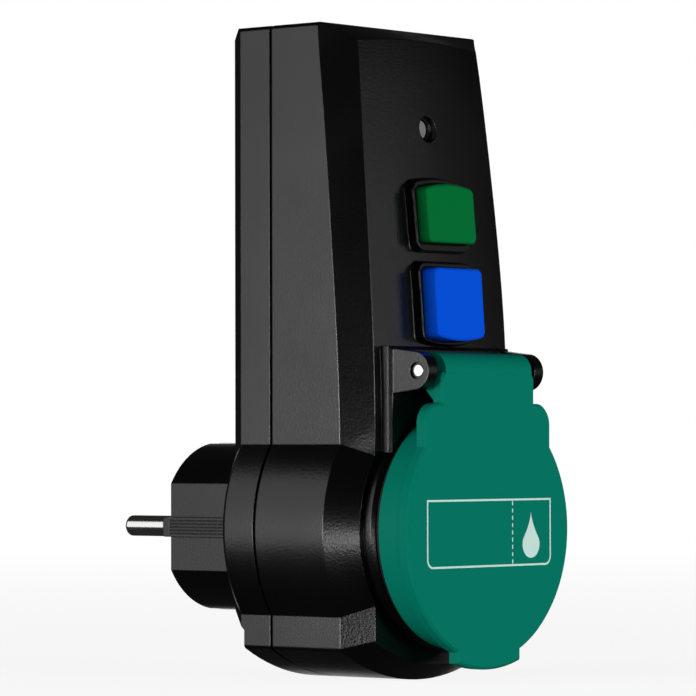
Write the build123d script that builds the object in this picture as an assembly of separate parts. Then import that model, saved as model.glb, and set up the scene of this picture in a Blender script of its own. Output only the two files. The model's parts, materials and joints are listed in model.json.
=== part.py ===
from build123d import *
import math
import os

# The adapter plugs into a wall socket with its rear side and carries a lidded earthed socket in front.
# Lengths are in millimetres. The origin is the centre of the plug's face, on the axis of plug and socket.
# X runs to the right as seen from the front, Y runs into the wall, and Z runs up.

# Housing
plug_length = 27.4            # from the housing's back plane to the plug's face
rear_depth = 12.5             # from the parting plane to the back plane
body_half_width = 27.4
body_top = 110.9              # above the plug axis
wall = 2.2
cavity_top_drop = 6.6         # solid head above the cavity
side_depth = 19.8             # from the parting plane to the front edge of the sides
side_bend_start = 15.0
side_bend_end = 42.0
side_bend_radius = 422.0
side_sweep_radius = 2500.0
panel_depth = 26.1            # from the parting plane to the panel
panel_bend_start = 25.0
panel_bend_end = 50.0
panel_bend_radius = 330.0
panel_sweep_radius = 1163.0
panel_half_width = 23.2
panel_taper_start = 30.0
panel_taper_radius = 1176.0
panel_crown = 0.6
side_inset_share = 0.31       # how far the chamfer's rear edge shifts for each millimetre of inset
panel_inset_share = 0.53
level_shares = (0.0, 0.14, 0.28, 0.42, 0.6, 0.8, 1.0)
inner_level_shares = (0.0, 0.2, 0.45, 1.0)
top_chamfer_start = 13.7
top_chamfer_depth = 5.7
top_chamfer_drop = 2.5
top_chamfer_sag_radius = 165.0
chamfer_run_share = 1.6       # the top chamfer's cutter runs this many times past its own depth
edge_bevel = 0.8
rear_side_depth = 8.9
rear_chamfer_width = 2.2
rear_top_chamfer_depth = 2.5
rear_top_chamfer_drop = 2.4
bulge_radius = 33.2
bulge_front_radius = 28.35
bulge_rear_depth = 8.6
bulge_bevel_depth = 1.4
bulge_bevel_width = 1.0
chin_drop = 33.3              # lowest point under the plug axis
chin_radius = 55.0
chin_front_inset = 3.5
chin_corner_radius = 1.0
chin_rear_depth = 8.0
rear_step_top = -18.0
rear_step_low = -22.2
parting_gap = 0.7
seal_inset = 0.55
overrun = 1.0                 # how far a cutter runs past what it cuts
gap_steps = 16                # points on each half turn of a coil when its gap is measured
wire_sides = 4                # spring wire is drawn with this many sides
lead_sides = 6

# Plug
plug_radius = 19.2
plug_flat = 16.5              # from the axis to each flat
plug_rib_reach = 19.2
plug_rib_half = 2.2
plug_rib_corner = 0.7
rib_groove_count = 5
rib_groove_width = 0.22
rib_groove_depth = 0.1
rib_groove_start = 2.0        # from the rib's end
plug_face_wall = 3.0
plug_cavity_radius = 14.4
plug_boss_radius = 4.6
plug_boss_length = 13.0
pin_radius = 2.4
pin_length = 19.0
pin_spacing = 19.0
pin_tip_radius = 1.0
pin_collar_radius = 3.4
pin_collar_length = 2.5
pin_root_radius = 2.6         # where the pin is held in the plug
pin_tail_radius = 1.7
pin_tail_reach = 6.6          # how far the tail reaches into the housing past the back plane
pin_fit = 0.02
earth_channel_half = 3.2
earth_channel_depth = 1.5
earth_strip_half = 2.9
earth_strip_thickness = 1.0
earth_strip_slack = 0.2
earth_strip_sink = 0.1        # the strip's face lies this far under the plug's round
earth_strip_end = 2.6         # from the plug's face to the strip's end

# Collar, hinge block and ears
collar_rise = 2.7
collar_radius = 27.0
block_half_width = 21.0
block_top = 40.0
collar_edge_bevel = 0.7
hinge_drop = 5.4              # from the block's top to the pin
hinge_pin_radius = 1.25
hinge_running_clearance = 0.07
ear_outer = 20.2
ear_inner = 17.1
ear_root_half = 5.0
ear_nose_half = 4.05
ear_nose_reach = 3.4
ear_sink_radius = 1.75
ear_sink_depth = 0.6

# Socket insert
well_radius = 19.6
insert_wall = 2.0
insert_clearance = 0.35       # between the insert and the front shell's bore
well_depth = 17.3
well_floor = 2.5
rim_rise = 5.0
rim_bevel = 0.6
insert_flange_reach = 2.0     # how far the flange stands past the insert's wall
insert_flange = 1.5
guide_lug_reach = 17.0        # from the axis to each lug's inner face
guide_lug_half = 8.8
guide_groove_half = 2.7
socket_hole_radius = 2.65
socket_hole_sink_radius = 3.5
socket_hole_sink = 0.8
clip_slot_half = 3.9
clip_slot_depth = 1.1
seal_thickness = 0.7
seal_outer_radius = 26.7
seal_inner_clearance = 0.3

# Shutter
shutter_gap = 0.3
shutter_thickness = 1.5
shutter_hub_radius = 4.4
shutter_lobe_radius = 3.2
shutter_arm_half = 2.2
shutter_pivot_radius = 1.9
shutter_pivot_length = 5.0
shutter_running_clearance = 0.06
shutter_clip_radius = 3.0
shutter_clip_thickness = 0.5
shutter_spring_radius = 2.6
shutter_spring_wire = 0.2
shutter_spring_turns = 2

# Socket contacts
contact_start = 2.9           # behind the floor's back
contact_length = 11.5
contact_inner_radius = 2.46
contact_thickness = 0.7
contact_slot_half = 0.6
contact_mouth_radius = 3.9
contact_mouth_length = 1.6
contact_tail_half = 2.4
contact_tail_top = 24.0
contact_tail_offset = 8.6     # from the contact's mouth to its tail
earth_clip_half = 3.2
earth_clip_thickness = 0.6
earth_clip_reach = 17.7       # from the axis to the clip's springy tip
earth_clip_base = 20.0
earth_clip_mouth = 6.5        # from the rim to the clip's free end
earth_bridge_offset = 6.4     # from the floor's back to the clip's bridge
earth_post_radius = 1.9
earth_bridge_sink = 1.6       # from the back wall's inner face to the plug's earth bridge

# Lid
lid_gap = 0.3
skirt_length = 7.1
skirt_radius = 26.4
skirt_wall = 1.6
lid_plate = 2.5
lid_radius = 28.6
lid_edge_bevel = 0.6
shoulder_half_width = 22.1
shoulder_top = 27.6
shoulder_corner = 4.6
tongue_half_width = 16.3
tongue_corner = 1.9
tab_half_width = 11.1
tab_reach = 30.5
tab_corner_reach = 28.8
knuckle_radius = 4.05
knuckle_half_length = 15.1
gusset_thickness = 1.8
gusset_foot = 7.4             # how far the gusset runs down from the hinge line
spring_bay_half = 5.2
hood_thickness = 1.0
lid_spring_radius = 2.05
lid_spring_wire = 0.35
lid_spring_turns = 6.5
lid_spring_pitch = 1.2
lid_spring_leg = 5.2
lid_spring_end_turn = 120     # degrees

# Buttons and window
button_half_width = 8.2
reset_length = 12.0
test_length = 15.0
button_spacing = 5.6          # between the two buttons
button_block_gap = 2.4        # between the hinge block's top and the lower button
button_arch = 1.0
button_corner = 1.4
reset_proud = 5.1             # from the panel to the button's face
test_proud = 5.9
button_edge_bevel = 0.45
button_gap = 0.3
button_wall = 1.3
button_skirt = 3.5            # how far the button reaches behind the panel
button_flange = 1.2
button_flange_thickness = 1.0
reset_travel = 2.0
test_travel = 2.5
surround_rise = 2.2
surround_grow = 1.05
surround_base_grow = 1.5
reset_surround_drop = 0.9     # the green button's frame reaches this much lower
surround_depth = 3.0          # behind the panel
stem_radius = 2.0
stem_end_gap = 0.3
button_spring_radius = 3.4
button_spring_wire = 0.3
button_spring_turns = 3
window_drop = 22.5           # from the housing's top
window_radius = 2.9
window_depth = 1.5
window_step_radius = 2.3
light_guide_radius = 2.05
light_guide_sink = 2.2

# Screws
screw_top_inset = 7.0
screw_top_drop = 9.1
screw_low_gap = 0.9           # between the lower bosses and the socket's bore
screw_low_angle = 32.2        # degrees under the level
boss_radius = 3.1
screw_radius = 1.4
screw_clearance = 0.3
screw_grip_fit = 0.02
screw_head_radius = 2.6
screw_head = 1.8
screw_pocket_radius = 2.9
screw_pocket_depth = 6.0
screw_reach = 9.0             # into the front boss
screw_slot_depth = 0.9
screw_slot_half = 0.35
board_screw_radius = 1.1
board_screw_head_radius = 2.2
board_screw_head = 1.2
board_screw_reach = 2.6
board_boss_radius = 2.7

# Circuit board and what it carries
board_side_gap = 2.2
board_low = 30.0
board_top_gap = 6.3
board_hole_inset = 2.7
board_hole_end = 3.5
board_hole_step = 17.0        # the upper right hole lies this much lower
board_standoff = 3.2
board_thickness = 1.6
core_side = 10.2              # from the board's side edge to the ring's centre
core_drop = 9.8               # from the board's top edge
core_radius = 7.6
core_bore = 4.4
core_length = 7.0
winding_thickness = 1.2
core_cap_radius = 9.6
core_cap_thickness = 1.2
varistor_side = 10.4
varistor_drop = 4.75          # under the window
varistor_radius = 4.6
varistor_thickness = 3.8
capacitor_side = 4.0
capacitor_rise = 5.1          # above the test button's middle
capacitor_size = (6.6, 9.0, 15.0)
chip_side = 2.6
chip_drop = 8.15              # under the window
chip_size = (5.0, 1.6, 4.4)
diode_side = 3.6
diode_drop = 31.5             # from the board's top edge
diode_radius = 1.3
diode_length = 5.0
diode_pitch = 3.4
diode_count = 4
small_resistor_side = 4.6
small_resistor_drop = 9.0     # from the board's top edge
small_resistor_size = (1.6, 0.8, 3.0)
small_resistor_pitch = 2.6
small_resistor_count = 4
test_resistor_rise = 7.0      # above the board's lower edge
test_resistor_radius = 1.7
test_resistor_length = 9.0
lamp_radius = 1.5
lamp_body = 1.3
lead_radius = 0.9
lead_bend = 1.7
lead_rise = 3.4               # how far a lead stands off the board
lead_rise_on_board = 9.0      # above the board's lower edge
load_lead_gap = 3.0           # beside the coil
load_lead_step = 4.0          # above the line leads

# Switching mechanism
frame_side = 12.2             # from the board's side edge to the frame's inner face
frame_wall = 1.5
frame_half_height = 6.6
frame_depth = 17.5            # from the board to the frame's front end
bridge_offset = 5.0
bridge_thickness = 1.5
bridge_half_height = 2.0
carrier_gap = 0.3
carrier_half_height = 2.5
carrier_thickness = 4.0
carrier_offset = 15.1         # from the board to the carrier's rear face
blade_half_width = 1.9
blade_half_height = 6.0
blade_thickness = 0.5
blade_inset = 3.3
contact_button_radius = 1.5
contact_button = 0.6
contact_spread = 4.5
fixed_contact_half = 1.2
contact_travel_gap = 0.15     # left between the contacts when the carrier is pressed home
carrier_spring_radius = 1.5
carrier_spring_wire = 0.3
carrier_spring_turns = 3
leaf_half_height = 1.5
leaf_thickness = 0.4
leaf_reach = 9.0
leaf_offset = 15.6            # from the board to the leaf
leaf_post_half = 1.3
leaf_contact_drop = 3.1

# Trip coil
coil_side = 3.0               # from the board's side edge to the coil's axis
coil_offset = 8.6             # from the board to the coil's axis
coil_rise = 13.0              # above the board's lower edge
coil_length = 13.3
coil_flange_half = 4.7
coil_flange = 1.0
coil_tube_radius = 2.7
coil_winding_radius = 4.3
plunger_radius = 1.7
plunger_clearance = 0.06
plunger_rest = 5.0            # from the coil's lower end to the plunger
plunger_neck_radius = 1.0
plunger_head_radius = 1.9
plunger_head = 1.2
plunger_spring_radius = 1.2
plunger_spring_wire = 0.2
plunger_spring_turns = 3
yoke_thickness = 1.2
lever_arm = 5.6               # from the coil's axis to the lever's pin
lever_rise = 4.2              # above the coil
lever_hub_radius = 1.9
lever_pin_radius = 0.9
lever_thickness = 2.4
lever_plate = 1.0
lever_fork_reach = 7.2
lever_fork_slot = 1.35
lever_head_gap = 0.65
hook_half = 1.0
hook_gap = 0.4
lever_running_clearance = 0.05

# Worked out from the sizes above
y_back = -plug_length
y_part = y_back - rear_depth
y_inner_back = y_back - wall
y_board_back = y_inner_back - board_standoff
y_board = y_board_back - board_thickness
y_panel = y_part - panel_depth
y_collar = y_panel - collar_rise
y_rim = y_collar - rim_rise
y_floor = y_rim + well_depth
y_floor_back = y_floor + well_floor
y_skirt = y_collar - seal_thickness - lid_gap
y_lid_inner = y_skirt - skirt_length
y_lid_face = y_lid_inner - lid_plate
y_hinge = y_lid_face + knuckle_radius
y_shutter = y_floor_back + shutter_gap
y_contact = y_floor_back + contact_start
insert_outer_radius = well_radius + insert_wall
insert_bore_radius = insert_outer_radius + insert_clearance
insert_flange_radius = insert_outer_radius + insert_flange_reach
pin_x = pin_spacing / 2
cavity_top = body_top - cavity_top_drop
hinge_height = block_top - hinge_drop
test_low = block_top + button_block_gap
test_high = test_low + test_length
reset_low = test_high + button_spacing
reset_high = reset_low + reset_length
window_height = body_top - window_drop
chin_centre = chin_radius - chin_drop
reset_centre = (reset_low + reset_high) / 2
test_centre = (test_low + test_high) / 2
board_half_width = body_half_width - wall - board_side_gap
board_high = cavity_top - board_top_gap
board_hole_x = board_half_width - board_hole_inset
board_holes = ((-board_hole_x, board_high - board_hole_end),
               (board_hole_x, board_high - board_hole_end - board_hole_step),
               (-board_hole_x, board_low + board_hole_end), (board_hole_x, board_low + board_hole_end))
core_place = (board_half_width - core_side, board_high - core_drop)
varistor_place = (varistor_side - board_half_width, window_height - varistor_drop)
capacitor_place = (board_half_width - capacitor_side, test_centre + capacitor_rise)
chip_place = (-chip_side, window_height - chip_drop)
diode_place = (diode_side - board_half_width, board_high - diode_drop)
small_resistor_place = (small_resistor_side - board_half_width, board_high - small_resistor_drop)
frame_inner = board_half_width - frame_side
carrier_half_width = frame_inner - carrier_gap
blade_x = carrier_half_width - blade_inset
coil_x = coil_side - board_half_width
coil_low = board_low + coil_rise
coil_high = coil_low + coil_length
plunger_low = coil_low + plunger_rest
lever_x = coil_x + lever_arm
lever_height = coil_high + lever_rise
hook_rise = reset_centre - lever_height
load_lead_x = -coil_x - coil_flange_half - load_lead_gap
lead_board_height = board_low + lead_rise_on_board
load_lead_height = lead_board_height + load_lead_step
screw_low_reach = insert_bore_radius + boss_radius + screw_low_gap
carrier_front = y_board - carrier_offset - carrier_thickness
leaf_front = y_board - leaf_offset - leaf_thickness


def box(x0, x1, y0, y1, z0, z1):
    """A box between two corners."""
    middle = Pos((x0 + x1) / 2, (y0 + y1) / 2, (z0 + z1) / 2)
    return middle * Box(abs(x1 - x0), abs(y1 - y0), abs(z1 - z0))


def rod_x(radius, x0, x1, y=0.0, z=0.0):
    """A round bar along X."""
    return Pos((x0 + x1) / 2, y, z) * Rot(0, 90, 0) * Cylinder(radius, abs(x1 - x0))


def rod_y(radius, y0, y1, x=0.0, z=0.0):
    """A round bar along Y."""
    return Pos(x, (y0 + y1) / 2, z) * Rot(90, 0, 0) * Cylinder(radius, abs(y1 - y0))


def rod_z(radius, z0, z1, x=0.0, y=0.0):
    """A round bar along Z."""
    return Pos(x, y, (z0 + z1) / 2) * Cylinder(radius, abs(z1 - z0))


def cone_y(r0, r1, y0, y1, x=0.0, z=0.0):
    """A cone along Y, of radius r0 at y0 and r1 at y1, with y1 the greater."""
    return Pos(x, (y0 + y1) / 2, z) * Rot(-90, 0, 0) * Cone(r0, r1, y1 - y0)


def slab(sketch, y0, y1):
    """A drawing seen from the front, with Z up, made solid from y0 to y1."""
    near = max(y0, y1)
    return extrude(Plane.XZ.offset(-near) * sketch, amount=abs(y1 - y0))


def profile_x(sketch, x0, x1):
    """A drawing seen from the side, with Y to the right and Z up, made solid from x0 to x1."""
    return extrude(Plane.YZ.offset(min(x0, x1)) * sketch, amount=abs(x1 - x0))


def turned(points):
    """A body of revolution about Y, from points of radius and place along Y."""
    face = make_face(Polyline(*[(r, y) for r, y in points], close=True))
    return revolve(face, axis=Axis.Y)


def mirrored(shape):
    """A shape and its mirror image across the plane of symmetry."""
    return shape + mirror(shape, about=Plane.YZ)


def both_sides(make):
    """What make gives for the left and for the right."""
    return [make(-1), make(1)]


def grouped(solids):
    """Separate solids kept as one group."""
    return Compound(children=[solid for shape in solids for solid in shape.solids()])


def coil_path(radius, pitch, turns):
    """The middle line of a coil about Z from z = 0, in rising half turns that join in one direction."""
    line = []
    for half in range(int(2 * turns)):
        side = 1 if half % 2 == 0 else -1
        z0 = pitch * half / 2
        z1 = pitch * (half + 1) / 2
        start = (side * radius, 0, z0)
        middle = (0, side * radius, (z0 + z1) / 2)
        end = (-side * radius, 0, z1)
        line.append(ThreePointArc(start, middle, end))
    return line


def coil(radius, pitch, turns, wire, lead_in=0, lead_out=0, end_turn=0):
    """A coil of round wire about Z, with straight ends if their lengths are given.

    The end turn is the last part turn, in degrees."""
    line = coil_path(radius, pitch, turns)
    if lead_in:
        line.insert(0, Line(line[0] @ 0 - (line[0] % 0) * lead_in, line[0] @ 0))
    if end_turn:
        last = line[-1] @ 1
        side = 1 if last.X > 0 else -1
        rise = pitch * end_turn / 360
        half, full = math.radians(end_turn / 2), math.radians(end_turn)
        middle = (side * radius * math.cos(half), side * radius * math.sin(half), last.Z + rise / 2)
        end = (side * radius * math.cos(full), side * radius * math.sin(full), last.Z + rise)
        line.append(ThreePointArc(last, middle, end))
    if lead_out:
        line.append(Line(line[-1] @ 1, line[-1] @ 1 + (line[-1] % 1) * lead_out))
    path = Wire([piece.edge() for piece in line])
    print("least gap in the coil", round(least_gap(line, radius, wire), 2))
    section = Plane(path @ 0, z_dir=path % 0) * RegularPolygon(wire, wire_sides)
    return sweep(section, path=path)


def least_gap(line, radius, wire):
    """The least gap between a coil's turns, measured on points of its middle line."""
    points = [piece @ (step / gap_steps) for piece in line for step in range(gap_steps)]
    apart = gap_steps + gap_steps // 2
    nearest = min((first - second).length for number, first in enumerate(points)
                  for second in points[number + apart:])
    return min(nearest, 2 * radius) - 2 * wire


def lean(z, start, radius):
    """How far a surface has left the upright at height z, on an arc that starts upright."""
    return max(z - start, 0) ** 2 / (2 * radius)


def double_lean(z, start, end, radius, sweep_radius):
    """The same, with the arc running on in a flatter one above end."""
    if z <= end:
        return lean(z, start, radius)
    slope = (end - start) / radius
    return lean(end, start, radius) + slope * (z - end) + lean(z, end, sweep_radius)


def side_y(z):
    """Front edge of the sides at height z."""
    back = double_lean(z, side_bend_start, side_bend_end, side_bend_radius, side_sweep_radius)
    return y_part - side_depth + back


def panel_y(z):
    """The panel's edge at height z."""
    back = double_lean(z, panel_bend_start, panel_bend_end, panel_bend_radius, panel_sweep_radius)
    return y_panel + back


def column_section(z, inset, crown):
    """One level of the column: upright sides, big chamfers and a crowned panel, all drawn in by inset."""
    half = body_half_width - inset
    side = side_y(z) + inset * side_inset_share
    edge = panel_half_width - lean(z, panel_taper_start, panel_taper_radius) - inset * panel_inset_share
    front = panel_y(z) + inset
    sides = Polyline((-edge, front), (-half, side), (-half, y_part), (half, y_part), (half, side), (edge, front))
    if crown:
        face = ThreePointArc((edge, front), (0, front - crown), (-edge, front))
    else:
        face = Line((edge, front), (-edge, front))
    return Plane.XY.offset(z) * make_face(sides + face)


def column(inset, top):
    """The front half of the tall body: curved outside, and plain where it is drawn in for the cavity."""
    if inset:
        return loft([column_section(top * share, inset, 0) for share in inner_level_shares], ruled=True)
    return loft([column_section(top * share, inset, panel_crown) for share in level_shares])


def chin_sketch(half, radius, corner):
    """The chin from the front: straight sides down to a shallow arc about one centre."""
    low = chin_centre - math.sqrt(radius ** 2 - half ** 2)
    sides = Polyline((-half, low), (-half, 0), (half, 0), (half, low))
    bottom = ThreePointArc((half, low), (0, chin_centre - radius), (-half, low))
    face = make_face(sides + bottom)
    corners = face.vertices().sort_by(Axis.Y)[:2]
    return fillet(corners, corner)


def bulge_front(inset):
    """The round bulge in front of the parting plane."""
    front_radius = bulge_front_radius - inset * panel_inset_share
    shoulder = y_part - side_depth + inset * side_inset_share
    front = y_panel + inset
    full = bulge_radius - inset
    return turned([(0, y_part), (full, y_part), (full, shoulder), (front_radius, front), (0, front)])


def chin_front(inset):
    """The chin in front of the parting plane, with its chamfer."""
    full = chin_sketch(body_half_width - inset, chin_radius - inset, chin_corner_radius)
    small_half = panel_half_width - inset * panel_inset_share
    small_radius = chin_radius - chin_front_inset - inset * panel_inset_share
    small = chin_sketch(small_half, small_radius, chin_corner_radius)
    shoulder = y_part - side_depth + inset * side_inset_share
    front = y_panel + inset
    nose = loft([Plane.XZ.offset(-shoulder) * full, Plane.XZ.offset(-front) * small], ruled=True)
    return slab(full, y_part, shoulder) + nose


def front_body(inset, top):
    """Everything in front of the parting plane as one block, drawn in by inset."""
    return column(inset, top) + bulge_front(inset) + chin_front(inset)


def top_chamfer_cutter():
    """What is cut away over the sloping top edge of the panel, which is slightly arched."""
    reach = body_half_width + overrun
    high = body_top + overrun
    run = top_chamfer_depth * chamfer_run_share
    peak = body_top - top_chamfer_drop * chamfer_run_share
    ends = peak - chamfer_run_share * reach ** 2 / (2 * top_chamfer_sag_radius)
    upper = Polyline((reach, body_top), (reach, high), (-reach, high), (-reach, body_top))
    near = make_face(upper + Line((-reach, body_top), (reach, body_top)))
    walls = Polyline((reach, ends), (reach, high), (-reach, high), (-reach, ends))
    far = make_face(walls + ThreePointArc((-reach, ends), (0, peak), (reach, ends)))
    y_near = y_part - top_chamfer_start
    return loft([Plane.XZ.offset(-y_near) * near, Plane.XZ.offset(run - y_near) * far], ruled=True)


def top_edge_cutter():
    """The small bevel along the two upper side edges of both shells."""
    side = math.sqrt(2) * edge_bevel
    length = 2 * (side_depth + rear_depth + overrun)
    bar = Pos(body_half_width, y_part, body_top) * Rot(0, 45, 0) * Box(side, length, side)
    return mirrored(bar)


def button_sketch(low, high, arch_low, arch_high, grow):
    """A button from the front, with one arched end, grown all round."""
    half = button_half_width + grow
    top = high + grow
    foot = low - grow
    right = Line((half, foot), (half, top))
    left = Line((-half, top), (-half, foot))
    over = ThreePointArc((half, top), (0, top + arch_high), (-half, top)) if arch_high else Line(
        (half, top), (-half, top))
    under = ThreePointArc((-half, foot), (0, foot - arch_low), (half, foot)) if arch_low else Line(
        (-half, foot), (half, foot))
    face = make_face(right + over + left + under)
    return fillet(face.vertices(), button_corner + max(grow, 0) / 2)


def reset_sketch(grow):
    """The green button from the front."""
    return button_sketch(reset_low, reset_high, 0, button_arch, grow)


def reset_surround_sketch(grow):
    """The green button's frame from the front."""
    return button_sketch(reset_low - reset_surround_drop, reset_high, 0, button_arch, grow)


def test_sketch(grow):
    """The blue button from the front."""
    return button_sketch(test_low, test_high, button_arch, 0, grow)


def behind_face(low, high, rise):
    """The space behind a flat face that stands this far in front of the panel's crown."""
    y_low = panel_y(low) - panel_crown - rise
    y_high = panel_y(high) - panel_crown - rise
    side_view = Polyline((y_low, low), (y_high, high), (y_part, high), (y_part, low), close=True)
    return profile_x(make_face(side_view), -panel_half_width, panel_half_width)


def surround(sketch, low, high):
    """The raised frame round a button: drafted outside, with a collar behind the panel."""
    base = panel_y((low + high) / 2)
    front = base - surround_rise - panel_crown - overrun
    back = base + surround_depth
    draft = (surround_base_grow - surround_grow) * (base - front) / surround_rise
    wide = Plane.XZ.offset(-base) * sketch(surround_base_grow)
    narrow = Plane.XZ.offset(-front) * sketch(surround_base_grow - draft)
    margin = button_arch + surround_base_grow + overrun
    raised = loft([wide, narrow], ruled=True) & behind_face(low - margin, high + margin, surround_rise)
    return raised + slab(sketch(surround_base_grow), base, back)


def ear():
    """The right hinge ear, tapered to a rounded nose."""
    root = y_collar + collar_rise / 2
    nose = y_hinge - ear_nose_reach
    low, high = hinge_height - ear_root_half, hinge_height + ear_root_half
    tip_low, tip_high = hinge_height - ear_nose_half, hinge_height + ear_nose_half
    sides = Polyline((y_hinge, tip_high), (root, high), (root, low), (y_hinge, tip_low))
    end = ThreePointArc((y_hinge, tip_low), (nose, hinge_height), (y_hinge, tip_high))
    plate = profile_x(make_face(sides + end), ear_inner, ear_outer)
    bore = rod_x(hinge_pin_radius + pin_fit, ear_inner - overrun, ear_outer + overrun, y_hinge, hinge_height)
    sink = rod_x(ear_sink_radius, ear_outer - ear_sink_depth, ear_outer + overrun, y_hinge, hinge_height)
    return plate - bore - sink


def collar_and_block():
    """The round collar and the block above it that carries the ears, with a bevelled front edge."""
    root = y_panel + wall
    bend = y_collar + collar_edge_bevel
    thin = collar_edge_bevel
    ring = turned([(0, root), (collar_radius, root), (collar_radius, bend), (collar_radius - thin, y_collar),
                   (0, y_collar)])
    half = block_half_width
    plate = Pos(0, block_top / 2) * Rectangle(2 * half, block_top)
    less = Pos(0, (block_top - thin) / 2) * Rectangle(2 * (half - thin), block_top - thin)
    nose = loft([Plane.XZ.offset(-bend) * plate, Plane.XZ.offset(-y_collar) * less], ruled=True)
    return ring + slab(plate, root, bend) + nose


def screw_places():
    """The four housing screws."""
    x_top, z_top = body_half_width - screw_top_inset, body_top - screw_top_drop
    angle = math.radians(screw_low_angle)
    x_low, z_low = screw_low_reach * math.cos(angle), -screw_low_reach * math.sin(angle)
    return [(x_top, z_top), (-x_top, z_top), (x_low, z_low), (-x_low, z_low)]


def make_front_shell():
    """The front moulding, open behind, with collar, hinge ears, button surrounds and bosses."""
    outer = front_body(0, body_top) - top_chamfer_cutter() - top_edge_cutter()
    shell = outer - front_body(wall, cavity_top)
    for x, z in screw_places():
        shell += rod_y(boss_radius, y_part, y_panel, x, z) & outer
    shell += collar_and_block()
    shell += mirrored(ear())
    shell += surround(reset_surround_sketch, reset_low - reset_surround_drop, reset_high)
    shell += surround(test_sketch, test_low, test_high)
    window_y = panel_y(window_height)
    shell += rod_y(window_step_radius + wall / 2, window_y + wall / 2, window_y + 2 * wall, 0, window_height)
    y_front = y_panel - 2 * surround_rise - panel_crown
    shell -= slab(reset_sketch(button_gap), y_part, y_front)
    shell -= slab(test_sketch(button_gap), y_part, y_front)
    shell -= rod_y(window_step_radius, y_part, y_front, 0, window_height)
    shell -= rod_y(window_radius, window_y - panel_crown + window_depth, y_front, 0, window_height)
    shell -= rod_y(insert_bore_radius, y_part, y_collar - overrun)
    y_front_rim = y_part - parting_gap / 2
    for x, z in screw_places():
        shell -= rod_y(screw_radius + screw_grip_fit, y_part, y_part - screw_reach - overrun, x, z)
    reach = 2 * bulge_radius
    return shell - box(-reach, reach, y_front_rim, y_part + overrun, -reach, body_top + overrun)


def rear_column(inset, top):
    """The tall body behind the parting plane, with its rear chamfers and the step above the chin."""
    half = body_half_width - inset
    flat = half - rear_chamfer_width
    side = y_part + rear_side_depth - inset * side_inset_share
    back = y_back - inset
    plan = Polyline((-half, y_part), (half, y_part), (half, side), (flat, back), (-flat, back), (-half, side),
                    close=True)
    foot = rear_step_low + inset
    block = extrude(Plane.XY.offset(foot) * make_face(plan), amount=top - foot)
    chin_back = y_part + chin_rear_depth - inset
    high = top - rear_top_chamfer_drop
    side_view = Polyline((y_part, foot), (chin_back, foot), (back, rear_step_top + inset), (back, high),
                         (back - rear_top_chamfer_depth, top), (y_part, top), close=True)
    return block & profile_x(make_face(side_view), -half, half)


def rear_body(inset, top):
    """Everything between the parting plane and the back plane as one block, drawn in by inset."""
    full = bulge_radius - inset
    bend = y_part + bulge_rear_depth - inset
    back = bend + bulge_bevel_depth
    bulge = turned([(0, y_part), (full, y_part), (full, bend), (full - bulge_bevel_width, back), (0, back)])
    drawing = chin_sketch(body_half_width - inset, chin_radius - inset, chin_corner_radius)
    chin = slab(drawing, y_part, y_part + chin_rear_depth - inset)
    return rear_column(inset, top) + bulge + chin


def plug_body():
    """The round plug body with its flats, guide ribs and earth channels, before it is hollowed."""
    body = rod_y(plug_radius, y_back - wall / 2, 0)
    for side in (-1, 1):
        body -= box(side * plug_flat, side * (plug_radius + overrun), y_back, overrun, -plug_radius, plug_radius)
    rib = box(plug_cavity_radius, plug_rib_reach, y_back - wall / 2, 0, -plug_rib_half, plug_rib_half)
    end_edges = rib.edges().filter_by(Axis.X).group_by(Axis.Y)[-1]
    rib = fillet(end_edges, plug_rib_corner)
    pitch = 2 * plug_rib_half / (rib_groove_count + 1)
    for number in range(rib_groove_count):
        z = -plug_rib_half + pitch * (number + 1)
        half = rib_groove_width / 2
        rib -= box(plug_rib_reach - rib_groove_depth, plug_rib_reach + overrun, y_back, -rib_groove_start,
                   z - half, z + half)
    body += mirrored(rib)
    for side in (-1, 1):
        floor = side * (plug_radius - earth_channel_depth)
        body -= box(-earth_channel_half, earth_channel_half, y_back, overrun, floor,
                    side * (plug_radius + overrun))
    return body


def make_rear_shell():
    """The rear moulding with the plug body, screw pockets and the bosses of the circuit board."""
    outer = rear_body(0, body_top) - top_edge_cutter()
    shell = outer - rear_body(wall, cavity_top)
    shell += plug_body()
    shell -= rod_y(plug_cavity_radius, y_inner_back - overrun, -plug_face_wall)
    for x in (-pin_x, pin_x):
        shell += rod_y(plug_boss_radius, -plug_face_wall - plug_boss_length, -plug_face_wall / 2, x)
        shell -= rod_y(pin_root_radius + pin_fit, y_inner_back, overrun, x)
    for x, z in screw_places():
        shell += rod_y(boss_radius, y_part + parting_gap / 2, y_back - wall / 2, x, z) & outer
        shell -= rod_y(screw_radius + screw_clearance, y_part - overrun, y_back + overrun, x, z)
        shell -= rod_y(screw_pocket_radius, y_back - screw_pocket_depth, y_back + overrun, x, z)
    for x, z in board_holes:
        shell += rod_y(board_boss_radius, y_board_back, y_inner_back + wall / 2, x, z)
        shell -= rod_y(board_screw_radius + screw_grip_fit, y_board_back - overrun, y_inner_back, x, z)
    for side in (-1, 1):
        z_low, z_high = earth_strip_range(side)
        slack = earth_strip_slack
        shell -= box(-earth_strip_half - slack, earth_strip_half + slack, y_inner_back - overrun, y_back + overrun,
                     z_low - slack, z_high + slack)
    y_bridge = y_inner_back - earth_bridge_sink
    shell -= box(-earth_strip_half - slack, earth_strip_half + slack, y_bridge - slack, y_inner_back,
                 -plug_radius, plug_radius)
    reach = 2 * bulge_radius
    y_rear_rim = y_part + parting_gap / 2
    return shell - box(-reach, reach, y_rear_rim, y_part - overrun, -reach, body_top + overrun)


def body_outline(inset):
    """The housing's outline at the parting plane, drawn in by inset."""
    half = body_half_width - inset
    top = body_top - inset
    drawing = Circle(bulge_radius - inset) + Pos(0, top / 2) * Rectangle(2 * half, top)
    return drawing + chin_sketch(half, chin_radius - inset, chin_corner_radius)


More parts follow.
